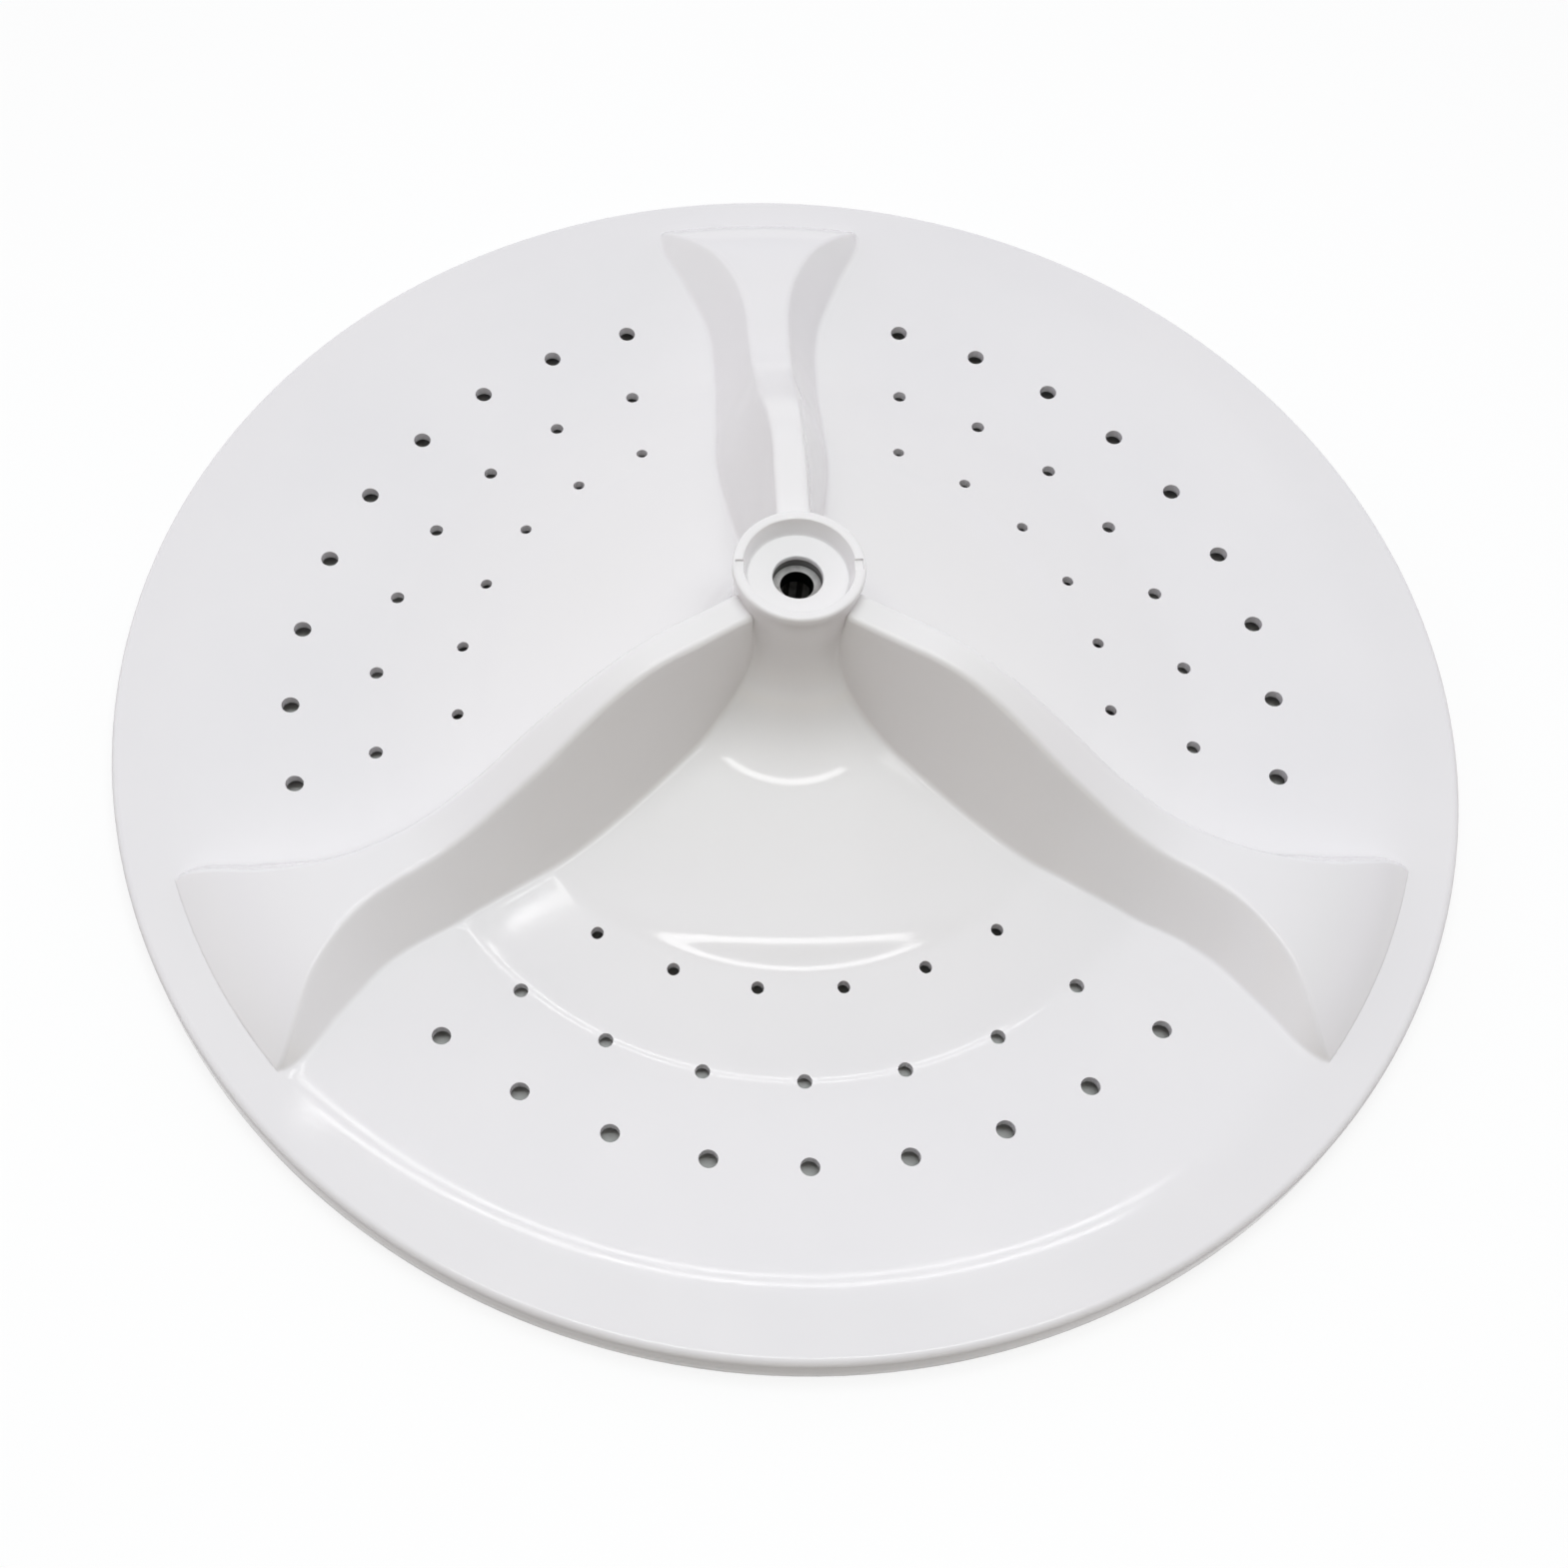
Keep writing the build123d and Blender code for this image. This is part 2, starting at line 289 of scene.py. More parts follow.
@dataclass
class PlateForm:
    """Dished plate, flange and skirt: heights that depend on the radius, and crescents.

    The stretches give the end radius and the number of rings of each part of the plate,
    from the flare out to the flange. The feet give how far a point of the skirt's rounded
    foot lies in from its face, and its height.
    """

    disc_radius: float = 169.0
    rim_height: float = 9.0
    rim_edge: float = 2.0
    crease_radius: float = 151.5
    crease_height: float = 10.2
    valley_radius: float = 104.0
    valley_height: float = 5.5
    step_radius: float = 77.7
    step_height: float = 9.9
    flare_radius: float = 37.5
    flare_height: float = 20.1
    flare_slope: float = 0.25
    flare_run: float = 0.6
    flare_turn: float = 0.45
    hub_radius: float = 15.0
    hub_wall_bottom: float = 49.0
    lip_bottom: float = 61.3
    crease_round: float = 5.5
    valley_round: float = 3.6
    step_round: float = 1.5
    crescent_width: float = 6.1
    crescent_slope: float = 0.40
    crescent_inner_slope: float = 0.20
    crescent_offset: float = 21.6
    crescent_round: float = 0.62
    lip_overlap: float = 0.6
    lip_gap: float = 0.2
    boss_overlap: float = 1.5
    hub_draft: float = 0.05
    hub_rings: int = 9
    flare_rings: int = 26
    stretches: Sequence[tuple[float, int]] = (
        (58.0, 18), (66.0, 10), (82.0, 26), (101.0, 12), (107.0, 10), (148.0, 28),
        (155.0, 13), (157.3, 4), (158.1, 5))
    flange_rings: int = 7
    edge_rings: int = 8
    outer_foot: Sequence[Pair] = ((0.0, 3.0), (0.0, 0.45), (0.15, 0.1), (0.45, 0.0))
    inner_foot: Sequence[Pair] = ((0.4, 0.0), (0.1, 0.1), (0.0, 0.45), (0.0, 3.0))
    inner_corner: Sequence[Pair] = ((0.3, 0.3), (0.9, 0.0))
    underside_margin: Pair = (3.5, 1.0)
    underside_pitch: float = 3.2
    underside_flare_rings: int = 10

    def straight_runs(self) -> list[Pair]:
        """Corners of the plate's profile, from the rim's edge in to the flare."""
        return [
            (self.disc_radius - self.rim_edge, self.rim_height),
            (self.crease_radius, self.crease_height),
            (self.valley_radius, self.valley_height),
            (self.step_radius, self.step_height),
            (self.flare_radius, self.flare_height),
        ]

    def height(self, radius: float) -> float:
        """Height of the plate's top between the flare and the rim's edge.

        Args:
            radius: Distance from the axis.

        Returns:
            The height, with its creases rounded.
        """
        runs = self.straight_runs()
        slopes = [(a[1] - b[1]) / (a[0] - b[0]) for a, b in zip(runs, runs[1:])]
        rounds = {1: self.crease_round, 2: self.valley_round, 3: self.step_round}
        for corner, half in rounds.items():
            offset = radius - runs[corner][0]
            if abs(offset) <= half:
                outer, inner = slopes[corner - 1], slopes[corner]
                blend = (outer - inner) * (offset + half) ** 2 / (4.0 * half)
                return runs[corner][1] + inner * offset + blend
        for run, slope in enumerate(slopes):
            if radius > runs[run + 1][0]:
                return runs[run + 1][1] + slope * (radius - runs[run + 1][0])
        return self.flare_height

    def flare(self, drop: float, count: int) -> list[Pair]:
        """Points of the flare, from the plate up to the hub's wall.

        Args:
            drop: How far the face lies under the top.
            count: Number of steps.

        Returns:
            Radius and height of each point.
        """
        wall = self.hub_radius - drop
        run = self.flare_run * (self.flare_radius - wall)
        low = self.flare_height - drop
        pulls = [
            (self.flare_radius, low),
            (self.flare_radius - run, low + run * self.flare_slope),
            (wall, low + self.flare_turn * (self.hub_wall_bottom - low)),
            (wall, self.hub_wall_bottom),
        ]
        points = []
        for step in range(count + 1):
            t = step / count
            weights = ((1 - t) ** 3, 3 * t * (1 - t) ** 2, 3 * t * t * (1 - t), t ** 3)
            points.append(tuple(sum(w * p[axis] for w, p in zip(weights, pulls))
                                for axis in (0, 1)))
        return points

    def crescent(self, radius: float, angle: float) -> float:
        """Height of the crescent bump.

        Args:
            radius: Distance from the axis.
            angle: Angle from the middle of the sector, in radians.

        Returns:
            The height of the bump, below the plate where there is none.
        """
        peak_radius = self.step_radius - self.crescent_width
        peak = self.step_height + self.crescent_width * self.crescent_slope
        ramp = self.step_height + (self.step_radius - radius) * self.crescent_slope
        away = math.hypot(radius * math.cos(angle) - self.crescent_offset,
                          radius * math.sin(angle))
        lobe = peak + (peak_radius - self.crescent_offset - away) * self.crescent_inner_slope
        return soft_min(ramp, lobe, self.crescent_round)

    def upper_rings(self) -> list[Pair]:
        """Rings of the top face, from under the hub's lip out to the skirt's foot.

        Returns:
            Radius and height of each ring.
        """
        top = [(self.hub_radius - self.lip_overlap, self.lip_bottom)]
        climb = self.lip_bottom - self.lip_gap - self.hub_wall_bottom
        for step in range(self.hub_rings):
            share = 1.0 - step / self.hub_rings
            top.append((self.hub_radius - self.hub_draft * share,
                        self.hub_wall_bottom + share * climb))
        top += self.flare(0.0, self.flare_rings)[::-1]
        start = self.flare_radius
        edge = self.disc_radius - self.rim_edge
        for end, count in (*self.stretches, (edge, self.flange_rings)):
            for step in range(1, count + 1):
                radius = start + (end - start) * step / count
                top.append((radius, self.height(radius)))
            start = end
        for step in range(1, self.edge_rings + 1):
            turn = math.radians(90.0 - 90.0 * step / self.edge_rings)
            top.append((edge + self.rim_edge * math.cos(turn),
                        self.rim_height - self.rim_edge + self.rim_edge * math.sin(turn)))
        top += [(self.disc_radius - inset, height) for inset, height in self.outer_foot]
        return top

    def lower_rings(self) -> list[Pair]:
        """Rings of the underside, from the skirt's foot in to the hub.

        Returns:
            Radius and height of each ring.
        """
        drop = Face.UNDERSIDE.value
        inside = self.disc_radius - drop
        low = [(inside + inset, height) for inset, height in self.inner_foot]
        low.append((inside, self.rim_height - self.rim_edge))
        low += [(inside - inset, self.rim_height - drop - fall)
                for inset, fall in self.inner_corner]
        radius = inside - self.underside_margin[0]
        while radius > self.flare_radius + self.underside_margin[1]:
            low.append((radius, self.height(radius) - drop))
            radius -= self.underside_pitch
        low += [point for point in self.flare(drop, self.underside_flare_rings)
                if point[0] > self.hub_radius - self.boss_overlap]
        return low

    def rows(self) -> list[tuple[float, float, Face]]:
        """Rings of the shell: over the top to the skirt's foot, and back underneath.

        Returns:
            Radius, height and face of each ring; the last is the first again.
        """
        top = [(radius, height, Face.TOP) for radius, height in self.upper_rings()]
        low = [(radius, height, Face.UNDERSIDE) for radius, height in self.lower_rings()]
        return top + low + top[:1]


@dataclass
class VaneForm:
    """A vane's crest line and the half widths of its walls.

    The feet and the crests are half widths at the places, which are distances from the
    disc's axis.
    """

    crest_height: float = 57.9
    level_radius: float = 34.0
    shelf_radius: float = 108.0
    shelf_height: float = 23.6
    nose_roundness: float = 3.6
    reach: float = 157.5
    nose_end: float = 10.25
    end_slope: float = 2.0
    trim: float = 6.0
    lean_limit: float = 0.7
    least_half_width: float = 1.0
    least_spread: float = 1.2
    least_rise: float = 0.01
    blend: float = 0.15
    sink: float = 1.0
    guess: float = 10.0
    guess_rounds: int = 4
    widest_share: float = 0.95
    crest_edge: float = 2.0
    foot_edge: float = 1.7
    places: Sequence[float] = (
        10.0, 22.0, 34.0, 51.3, 68.6, 85.9, 103.2, 120.5, 136.5, 150.5, 161.5)
    feet: Sequence[float] = (5.8, 7.2, 9.6, 12.9, 14.9, 14.5, 14.3, 15.9, 22.4, 28.6, 32.5)
    crests: Sequence[float] = (4.0, 4.0, 4.0, 4.0, 4.9, 4.9, 5.2, 6.8, 13.4, 24.4, 29.5)
    plate: PlateForm = field(default_factory=PlateForm)

    def __post_init__(self) -> None:
        """Work out the walls of both faces from the stations."""
        self.walls: dict[Face, tuple[Course, Course, Course]] = {}
        for face in Face:
            wides, narrows, tops = [], [], []
            for place, foot, crest in zip(self.places, self.feet, self.crests):
                low = self.plate_height(place)
                high = self.crest(place)
                rise = high - low + self.least_rise
                lean = min((foot - crest) / rise, self.lean_limit)
                top = high - face.value + self.trim
                wides.append(foot + (low + self.sink) * lean - face.value)
                narrows.append(max(crest - (top - high) * lean - face.value,
                                   self.least_half_width))
                tops.append(top)
            self.walls[face] = (Course(self.places, wides), Course(self.places, narrows),
                                Course(self.places, tops))

    def plate_height(self, radius: float) -> float:
        """Height of the plate at a station's foot, with no flare by the hub.

        Args:
            radius: Distance from the axis.

        Returns:
            The height of the plate, or of its cone carried on inwards.
        """
        plate = self.plate
        if radius < plate.flare_radius:
            share = (plate.step_radius - radius) / (plate.step_radius - plate.flare_radius)
            return plate.step_height + share * (plate.flare_height - plate.step_height)
        return plate.height(radius)

    def crest(self, radius: float) -> float:
        """Height of the crest.

        Args:
            radius: Distance from the axis.

        Returns:
            A level part, a smooth fall to a shelf, a rounded nose and a low step.
        """
        if radius <= self.level_radius:
            return self.crest_height
        if radius <= self.shelf_radius:
            share = (radius - self.level_radius) / (self.shelf_radius - self.level_radius)
            fall = self.crest_height - self.shelf_height
            return self.shelf_height + fall * (1 + math.cos(math.pi * share)) / 2
        if radius > self.reach:
            return self.nose_end - self.end_slope * (radius - self.reach)
        share = (radius - self.shelf_radius) / (self.reach - self.shelf_radius)
        fall = self.shelf_height - self.nose_end
        return self.shelf_height - fall * share ** self.nose_roundness

    def half_width(self, radius: float, height: float, face: Face) -> float:
        """Distance of a wall from the vane's middle plane.

        Args:
            radius: Distance from the disc's axis.
            height: Height of the point on the wall.
            face: Which face of the wall.

        Returns:
            Half the vane's width there.
        """
        wide, narrow, top = self.walls[face]
        half = self.guess
        for _ in range(self.guess_rounds):
            along = math.sqrt(max(radius * radius - half * half, 1.0))
            share = (height + self.sink) / (top.at(along) + self.sink)
            half = wide.at(along) + share * (narrow.at(along) - wide.at(along))
            half = min(half, self.widest_share * radius)
        return half


@dataclass
class ShellGrid:
    """Where the points of one sixth of the shell lie, from a crest to a sector's middle.

    A ring goes in steps across the crest, its rounded edge, the wall, the rounded foot and
    the plate, where the points crowd by the foot.
    """

    plate: PlateForm
    vane: VaneForm
    crest_steps: int = 8
    crest_round_steps: int = 7
    wall_steps: int = 10
    foot_round_steps: int = 5
    plate_steps: int = 31
    plate_crowding: float = 1.15
    inner_edge: float = 0.5
    corner_share: float = 0.42
    least_reach: float = 0.05
    overrun: float = 2.0
    crescent_margin: float = 4.0
    crescent_blend: float = 0.55

    @property
    def columns(self) -> int:
        """Number of steps across one sixth."""
        return (self.crest_steps + self.crest_round_steps + self.wall_steps
                + self.foot_round_steps + self.plate_steps)

    def corner(self, before: Pair, corner: Pair, after: Pair, size: float,
               steps: int) -> list[Pair]:
        """Round one corner of a ring's line.

        Args:
            before: The point that the line comes from.
            corner: The corner.
            after: The point that the line goes to.
            size: Radius of the rounding.
            steps: Number of steps round the corner.

        Returns:
            The points of the rounding, its two ends among them.
        """
        into = Vector(corner) - Vector(before)
        out = Vector(after) - Vector(corner)
        turn = into.angle(out, 0.0)
        reach = min(size * math.tan(turn / 2.0) + self.least_reach,
                    self.corner_share * into.length, self.corner_share * out.length)
        start = Vector(corner) - into.normalized() * reach
        end = Vector(corner) + out.normalized() * reach
        points = []
        for step in range(steps + 1):
            t = step / steps
            spot = start * (1 - t) ** 2 + Vector(corner) * 2 * t * (1 - t) + end * t * t
            points.append((spot.x, spot.y))
        return points

    def ring(self, radius: float, low: float, face: Face) -> list[Pair]:
        """One ring from the vane's middle plane to the middle of the sector.

        Args:
            radius: Radius of the ring.
            low: Height of the plate's face on this ring.
            face: Which face the ring lies on.

        Returns:
            Distance along the ring and height of each point.
        """
        vane = self.vane
        last = vane.reach + self.overrun
        inner = min(radius, last)
        high = low
        if radius < last:
            high = soft_max(vane.crest(inner) - face.value, low, vane.blend)
        scale = radius / inner
        foot = inner * math.asin(vane.half_width(inner, low, face) / inner) * scale
        crest = inner * math.asin(vane.half_width(inner, high, face) / inner) * scale
        crest = min(crest, foot - vane.least_spread)
        end = radius * math.pi / 3.0
        corners = [(0.0, high), (crest, high), (foot, low), (end, low)]
        edges = (self.inner_edge, self.inner_edge)
        if face is Face.TOP:
            edges = (vane.crest_edge, vane.foot_edge)
        upper = self.corner(*corners[:3], edges[0], self.crest_round_steps)
        lower = self.corner(*corners[1:], edges[1], self.foot_round_steps)
        points = [(upper[0][0] * step / self.crest_steps, high)
                  for step in range(self.crest_steps)]
        points += upper
        for step in range(1, self.wall_steps):
            t = step / self.wall_steps
            points.append((upper[-1][0] * (1 - t) + lower[0][0] * t,
                           upper[-1][1] * (1 - t) + lower[0][1] * t))
        points += lower
        for step in range(1, self.plate_steps + 1):
            t = (step / self.plate_steps) ** self.plate_crowding
            points.append((lower[-1][0] * (1 - t) + end * t, low))
        return points

    def points(self) -> list[Point]:
        """All points of the sixth, ring after ring, with the vane along +X."""
        plate = self.plate
        outermost = plate.step_radius + self.crescent_margin
        laid = []
        for radius, low, face in plate.rows():
            for along, height in self.ring(radius, low, face):
                angle = along / radius
                if face is Face.TOP and plate.flare_radius < radius < outermost:
                    bump = plate.crescent(radius, math.pi / 3.0 - angle)
                    height = soft_max(height, bump, self.crescent_blend)
                laid.append((radius * math.cos(angle), radius * math.sin(angle), height))
        return laid


# ---------------------------------------------------------------- sub-assemblies


@dataclass
class DrainHoles:
    """The three rings of drain holes between each two vanes.

    Each ring has its radius, the diameter of its holes, the angle between two of them and
    their number.
    """

    rings: Sequence[tuple[float, float, float, int]] = (
        (124.8, 4.5, 10.5, 9),
        (104.0, 3.5, 13.0, 7),
        (82.7, 3.0, 14.0, 6),
    )
    sides: int = 28
    bar_length: float = 40.0

    def drills(self) -> Piece:
        """Round bars in the place of all holes.

        Returns:
            One piece that holds every bar.
        """
        bars = []
        for radius, diameter, pitch, count in self.rings:
            deselect()
            bpy.ops.mesh.primitive_cylinder_add(
                vertices=self.sides, radius=diameter / 2 * MM,
                depth=self.bar_length * MM,
                location=(radius * MM, 0.0, 0.0))
            first = bpy.context.active_object
            bpy.ops.object.transform_apply(location=True, rotation=True, scale=True)
            for middle in SECTOR_MIDDLES:
                for number in range(count):
                    angle = middle + pitch * (number - (count - 1) / 2)
                    bars.append(turned_copy(first, angle))
            bpy.data.objects.remove(first)
        return joined("drills", bars)


@dataclass
class Hub:
    """Hub and boss, turned in one: outer wall, lip, cap cup, insert's seat and shaft entry.

    The notch is the box that is cut out of the lip, and the outline gives radius and height.
    """

    steps: int = 120
    weld: float = 0.005
    notch: Point = (29.8, 3.0, 1.6)
    hub_top: float = 63.8
    outline: Sequence[Pair] = (
        (8.5, 14.0), (14.2, 14.0), (14.6, 14.4), (14.6, 60.9), (14.95, 61.2), (15.3, 61.3),
        (15.6, 61.5), (15.6, 62.9), (15.52, 63.3), (15.3, 63.62),
        (14.95, 63.78), (14.6, 63.8), (13.7, 63.8), (13.4, 63.75), (13.15, 63.55), (13.05, 63.2),
        (12.25, 59.5), (12.1, 59.0), (11.8, 58.7), (11.3, 58.6), (6.4, 58.6), (6.1, 58.52),
        (5.95, 58.35), (5.9, 58.1), (5.9, 57.2), (10.2, 57.2), (10.2, 20.0), (8.5, 20.0),
        (8.5, 17.0),
    )

    def build(self) -> Piece:
        """Turn the outline about the disc's axis and cut the two notches.

        Returns:
            The closed hub.
        """
        deselect()
        bpy.ops.mesh.primitive_circle_add(vertices=len(self.outline), fill_type="NOTHING")
        hub = bpy.context.active_object
        hub.name = "hub"
        lay(hub, [(radius, 0.0, height) for radius, height in self.outline])
        edit(
            hub,
            lambda: bpy.ops.mesh.spin(steps=self.steps, angle=2 * math.pi,
                                      center=(0, 0, 0), axis=(0, 0, 1)),
            lambda: bpy.ops.mesh.remove_doubles(threshold=self.weld * MM),
            face_outwards,
        )
        deselect()
        bpy.ops.mesh.primitive_cube_add(size=1.0, location=(0, 0, self.hub_top * MM))
        slot = bpy.context.active_object
        slot.scale = [size * MM for size in self.notch]
        bpy.ops.object.transform_apply(location=True, rotation=True, scale=True)
        cut(hub, slot, "EXACT")
        return hub


@dataclass
class Ribs:
    """Radial webs and the ring rib of the underside, whose tops run into the shell."""

    plate: PlateForm
    grid: ShellGrid
    web_overlap: float = 1.3
    ring_overlap: float = 0.9
    ring_lift: float = 0.1
    level_from: float = 165.0
    flare_points: int = 60
    thickness: float = 2.0
    clearance: float = 1.2
    angle: float = 17.0
    ring_radius: float = 93.4
    start: float = 13.6
    web_steps: int = 44

    def web(self) -> Piece:
        """One web along +X, its top following the inside of the plate."""
        end = self.plate.disc_radius - self.web_overlap
        flare = self.plate.flare(self.web_overlap, self.flare_points)
        places = []
        for top in (False, True):
            for step in range(self.web_steps + 1):
                radius = self.start + (end - self.start) * step / self.web_steps
                height = self.clearance
                if top and radius < self.plate.flare_radius:
                    height = min(flare, key=lambda spot: abs(spot[0] - radius))[1]
                elif top:
                    height = self.plate.height(min(radius, self.level_from)) - self.web_overlap
                places.append((radius, -self.thickness / 2, height))
        web = laid_grid("web", self.web_steps, places)
        edit(web, lambda: bpy.ops.mesh.extrude_region_move(
            TRANSFORM_OT_translate={"value": (0, self.thickness * MM, 0)}), face_outwards)
        return web

    def ring_sixth(self) -> Piece:
        """A sixth of the ring rib, its top following the inside of plate and vane."""
        low = self.plate.height(self.ring_radius) - Face.UNDERSIDE.value
        line = self.grid.ring(self.ring_radius, low, Face.UNDERSIDE)
        radius = self.ring_radius - self.thickness / 2
        places = []
        for top in (False, True):
            for along, height in line:
                turn = along / self.ring_radius
                height = height + self.ring_overlap if top else self.clearance + self.ring_lift
                places.append((radius * math.cos(turn), radius * math.sin(turn), height))
        band = laid_grid("ring_rib", len(line) - 1, places)
        choose(band)
        shell = band.modifiers.new("thickness", "SOLIDIFY")
        shell.thickness = self.thickness * MM
        shell.offset = -1.0
        bpy.ops.object.modifier_apply(modifier=shell.name)
        return band

    def build(self) -> list[Piece]:
        """Make the webs and the ring rib of all sectors.

        Returns:
            The ribs, each with its own mesh.
        """
        web = self.web()
        made = [turned_copy(web, middle + side * self.angle)
                for middle in SECTOR_MIDDLES for side in (-1, 1)]
        bpy.data.objects.remove(web)
        sixth = self.ring_sixth()
        add_mirror_image(sixth, MM)
        made += [turned_copy(sixth, angle) for angle in VANE_ANGLES]
        bpy.data.objects.remove(sixth)
        return made


@dataclass
class Moulding:
    """The white moulded disc: shell, drain holes, hub and ribs."""

    plate: PlateForm = field(default_factory=PlateForm)
    vane: VaneForm = field(default_factory=VaneForm)
    holes: DrainHoles = field(default_factory=DrainHoles)
    hub: Hub = field(default_factory=Hub)
    name: str = "pulsator_moulding"
    smooth_angle: float = 32.0

    def shell(self, grid: ShellGrid) -> Piece:
        """Lay the grid over the disc's form and copy it round the axis.

        Args:
            grid: Where the points lie.

        Returns:
            The closed shell, before its holes.
        """
        sixth = laid_grid("sixth", grid.columns, grid.points())
        add_mirror_image(sixth, WELD)
        thirds = [turned_copy(sixth, angle) for angle in VANE_ANGLES]
        bpy.data.objects.remove(sixth)
        shell = joined("shell", thirds)
        edit(shell, face_outwards)
        return shell

    def build(self) -> Piece:
        """Make the whole moulding.

        Returns:
            One piece that stands for the CAD body.
        """
        grid = ShellGrid(self.plate, self.vane)
        shell = self.shell(grid)
        log.info("shell: %d faces", len(shell.data.polygons))
        cut(shell, self.holes.drills(), "MANIFOLD")
        log.info("drilled: %d faces", len(shell.data.polygons))
        choose(shell, self.hub.build(), *Ribs(self.plate, grid).build())
        bpy.ops.object.join()
        moulding = bpy.context.view_layer.objects.active
        moulding.name = self.name
        moulding.data.name = self.name
        choose(moulding)
        bpy.ops.object.shade_smooth_by_angle(angle=math.radians(self.smooth_angle))
        return moulding

    def dress(self, finish: bpy.types.Material) -> Piece:
        """Build the moulding, give it its finish and put it on the frame.

        Args:
            finish: Material of the white plastic.

        Returns:
            The finished piece.
        """
        piece = self.build()
        piece.data.materials.clear()
        piece.data.materials.append(finish)
        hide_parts("pulsator_body")
        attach(piece, "root")
        return piece


# ---------------------------------------------------------------- finishes


@dataclass(frozen=True)
class Mottle:
    """Soft noise, as in Graph.noise, and the range of it that is used."""

    size_mm: float
    detail: float
    rough: float
    low: float
    high: float


class Wire:
    """A node's output that can be used in sums and products."""

    def __init__(self, graph: "Graph", socket: bpy.types.NodeSocket) -> None:
        """Keep the socket and the graph it belongs to."""
        self.graph = graph
        self.socket = socket

    def _with(self, operation: str, other: Value) -> "Wire":
        """Add one Math node.

        Args:
            operation: Name of the Math node's operation.
            other: Its second value.

        Returns:
            The node's result.
        """
        return self.graph.add("ShaderNodeMath", {"operation": operation}, {0: self, 1: other})

    def __add__(self, other: Value) -> "Wire":
        """Sum."""
        return self._with("ADD", other)

    def __mul__(self, other: Value) -> "Wire":
        """Product."""
        return self._with("MULTIPLY", other)


class Graph:
    """Node tree of one material or of the surroundings."""

    def __init__(self, tree: bpy.types.NodeTree) -> None:
        """Start from an empty tree."""
        self.tree = tree
        self.tree.nodes.clear()

    def add(self, kind: str, settings: Optional[dict] = None, inputs: Optional[dict] = None,
            output: Union[int, str] = 0) -> Wire:
        """Make one node.

        Args:
            kind: Type of the node.
            settings: Its properties, set before its sockets; "stops" are a ramp's stops.
            inputs: Values or wires for its sockets, by name or number.
            output: The socket that is handed back.

        Returns:
            The chosen output.
        """
        node = self.tree.nodes.new(kind)
        for name, value in (settings or {}).items():
            if name == "stops":
                ramp = node.color_ramp
                while len(ramp.elements) < len(value):
                    ramp.elements.new(1.0)
                for element, (place, colour) in zip(ramp.elements, value):
                    element.position = place
                    element.color = colour
            else:
                setattr(node, name, value)
        for name, value in (inputs or {}).items():
            if isinstance(value, Wire):
                self.tree.links.new(value.socket, node.inputs[name])
            else:
                node.inputs[name].default_value = value
        return Wire(self, node.outputs[output] if len(node.outputs) else None)

    def place(self) -> Wire:
        """Where a point lies on the object, in metres."""
        return self.add("ShaderNodeTexCoord", output="Object")

    def length(self, vector: Wire) -> Wire:
        """Length of a vector."""
        return self.add("ShaderNodeVectorMath", {"operation": "LENGTH"}, {0: vector}, "Value")

    def off_axis(self) -> Wire:
        """How far a point lies from the disc's axis, in metres."""
        return self.length(self.add("ShaderNodeVectorMath", {"operation": "MULTIPLY"},
                                    {0: self.place(), 1: (1.0, 1.0, 0.0)}))

    def noise(self, size_mm: float, detail: float, rough: float) -> Wire:
        """Soft noise.

        Args:
            size_mm: Rough size of its blotches.
            detail: Octaves.
            rough: Strength of the finer octaves.

        Returns:
            A value about 0.5.
        """
        return self.add("ShaderNodeTexNoise", {"noise_dimensions": "3D"},
                        {"Vector": self.place(), "Scale": 1000.0 / size_mm, "Detail": detail,
                         "Roughness": rough}, "Fac")

    def spread(self, value: Wire, low: float, high: float, to_low: float = 0.0,
               to_high: float = 1.0) -> Wire:
        """Map a range of a value to another range, clamped.

        Args:
            value: The value.
            low: Start of its range.
            high: End of its range.
            to_low: Result at the start.
            to_high: Result at the end.

        Returns:
            The mapped value.
        """
        return self.add("ShaderNodeMapRange", {"clamp": True},
                        {0: value, 1: low, 2: high, 3: to_low, 4: to_high})

    def mottle(self, mottle: Mottle, to_low: float = 0.0, to_high: float = 1.0) -> Wire:
        """Soft noise, its range mapped to another one.

        Args:
            mottle: The noise and its range.
            to_low: Result at the start.
            to_high: Result at the end.

        Returns:
            The mapped noise.
        """
        noise = self.noise(mottle.size_mm, mottle.detail, mottle.rough)
        return self.spread(noise, mottle.low, mottle.high, to_low, to_high)

    def blend(self, share: Value, first: object, second: object) -> Wire:
        """Mix two colours.

        Args:
            share: How much of the second.
            first: Colour or wire.
            second: Colour or wire.

        Returns:
            The mixed colour.
        """
        return self.add("ShaderNodeMix", {"data_type": "RGBA"},
                        {0: share, 6: first, 7: second}, 2)


def new_material(name: str) -> tuple[bpy.types.Material, Graph]:
    """Make an empty material.

    Args:
        name: Its name.

    Returns:
        The material and its graph.
    """
    material = bpy.data.materials.new(name)
    material.use_nodes = True
    return material, Graph(material.node_tree)


